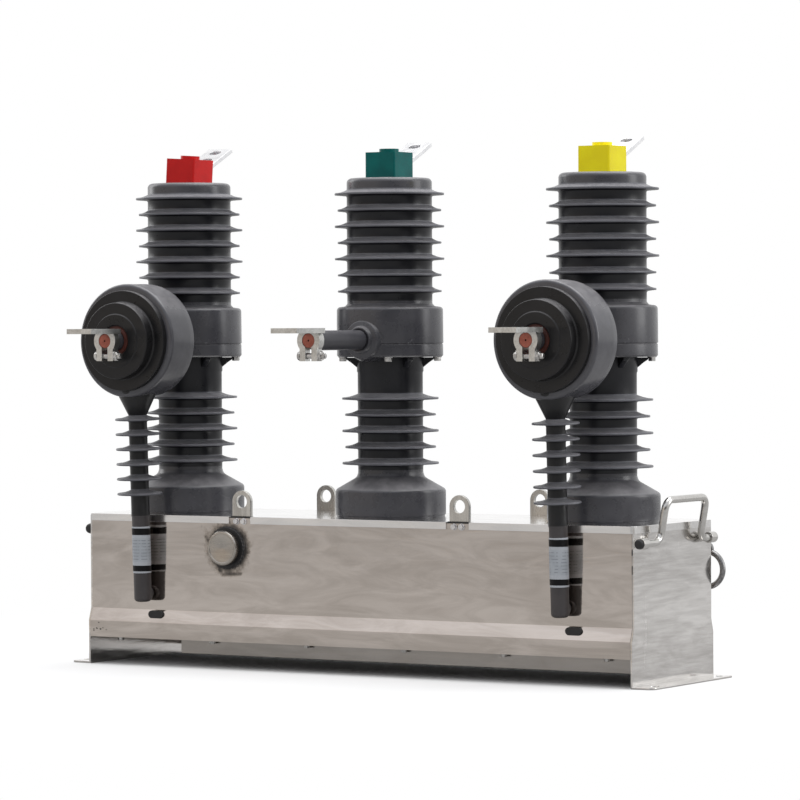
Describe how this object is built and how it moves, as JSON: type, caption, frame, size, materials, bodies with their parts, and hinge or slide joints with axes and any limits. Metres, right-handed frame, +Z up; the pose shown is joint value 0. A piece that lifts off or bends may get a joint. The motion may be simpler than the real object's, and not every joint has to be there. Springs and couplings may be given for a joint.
{
  "type": "outdoor vacuum circuit breaker",
  "caption": "Pole-mounted vacuum circuit breaker: a steel mechanism box carrying shedded resin poles with outlet clamps, ring current transformers and coloured phase caps.",
  "frame": {"origin": "centre of the four foot bolt holes, in the plane of the feet's undersides", "axes": "+X along the box towards the phase with the yellow cap, +Y towards the back with the lever, +Z up; the transformers and the round plug face -Y"},
  "size_m": [0.95, 0.4046, 0.7393],
  "materials": {
    "stainless_steel": "polished sheet",
    "zinc_plated_steel": "dull zinc",
    "dark_steel": "satin",
    "grey_resin": "satin cast resin",
    "dark_resin": "satin cast resin",
    "copper": "machined",
    "tinned_terminal": "bright",
    "black_rubber": "matt",
    "label_foil": "printed foil",
    "cap_red": "moulded",
    "cap_green": "moulded",
    "cap_yellow": "moulded"
  },
  "bodies": {
    "breaker": {"lid": "stainless_steel", "front_panel": "stainless_steel", "back_panel": "stainless_steel", "left_end_plate": "stainless_steel", "right_end_plate": "stainless_steel", "floor_plate": "dark_steel", "bottom_pan": "stainless_steel", "skirt_bolts": "zinc_plated_steel", "cable_grommets": "black_rubber", "lower_insulator_left": "grey_resin", "lower_insulator_middle": "grey_resin", "lower_insulator_right": "grey_resin", "upper_insulator_left": "grey_resin", "upper_insulator_middle": "grey_resin", "upper_insulator_right": "grey_resin", "phase_cap_red": "cap_red", "phase_cap_green": "cap_green", "phase_cap_yellow": "cap_yellow", "top_terminal_left": "tinned_terminal", "top_terminal_middle": "tinned_terminal", "top_terminal_right": "tinned_terminal", "rod_sleeve_left": "dark_resin", "rod_sleeve_middle": "dark_resin", "rod_sleeve_right": "dark_resin", "outlet_rod_left": "copper", "outlet_rod_middle": "copper", "outlet_rod_right": "copper", "terminal_clamp_left": "tinned_terminal", "terminal_clamp_middle": "tinned_terminal", "terminal_clamp_right": "tinned_terminal", "clamp_bolts": "zinc_plated_steel", "current_transformer_left": "dark_resin", "current_transformer_right": "dark_resin", "transformer_arm_left": "dark_resin", "transformer_arm_right": "dark_resin", "arm_labels": "label_foil", "lifting_lug_front_left": "stainless_steel", "lifting_lug_front_right": "stainless_steel", "lifting_lug_back_left": "stainless_steel", "lifting_lug_back_right": "stainless_steel", "lug_bolts": "zinc_plated_steel", "plug_ring": "dark_steel", "plug_cap": "stainless_steel", "handle_bosses": "zinc_plated_steel", "lever_pivot": "zinc_plated_steel"},
    "left_handle": {"carrying_handle_left": "stainless_steel"},
    "right_handle": {"carrying_handle_right": "stainless_steel"},
    "lever": {"trip_lever": "dark_steel"}
  },
  "joints": [
    {"name": "left_handle_hinge", "type": "hinge", "parent": "breaker", "child": "left_handle", "pos_m": [-0.4535, 0, 0.192], "axis": [0, 1, 0], "range_deg": [0, 170]},
    {"name": "right_handle_hinge", "type": "hinge", "parent": "breaker", "child": "right_handle", "pos_m": [0.4535, 0, 0.192], "axis": [0, 1, 0], "range_deg": [0, 170]},
    {"name": "trip_lever_pivot", "type": "hinge", "parent": "breaker", "child": "lever", "pos_m": [0.385, 0.122, 0.174], "axis": [0, 1, 0], "range_deg": [0, 45]}
  ]
}
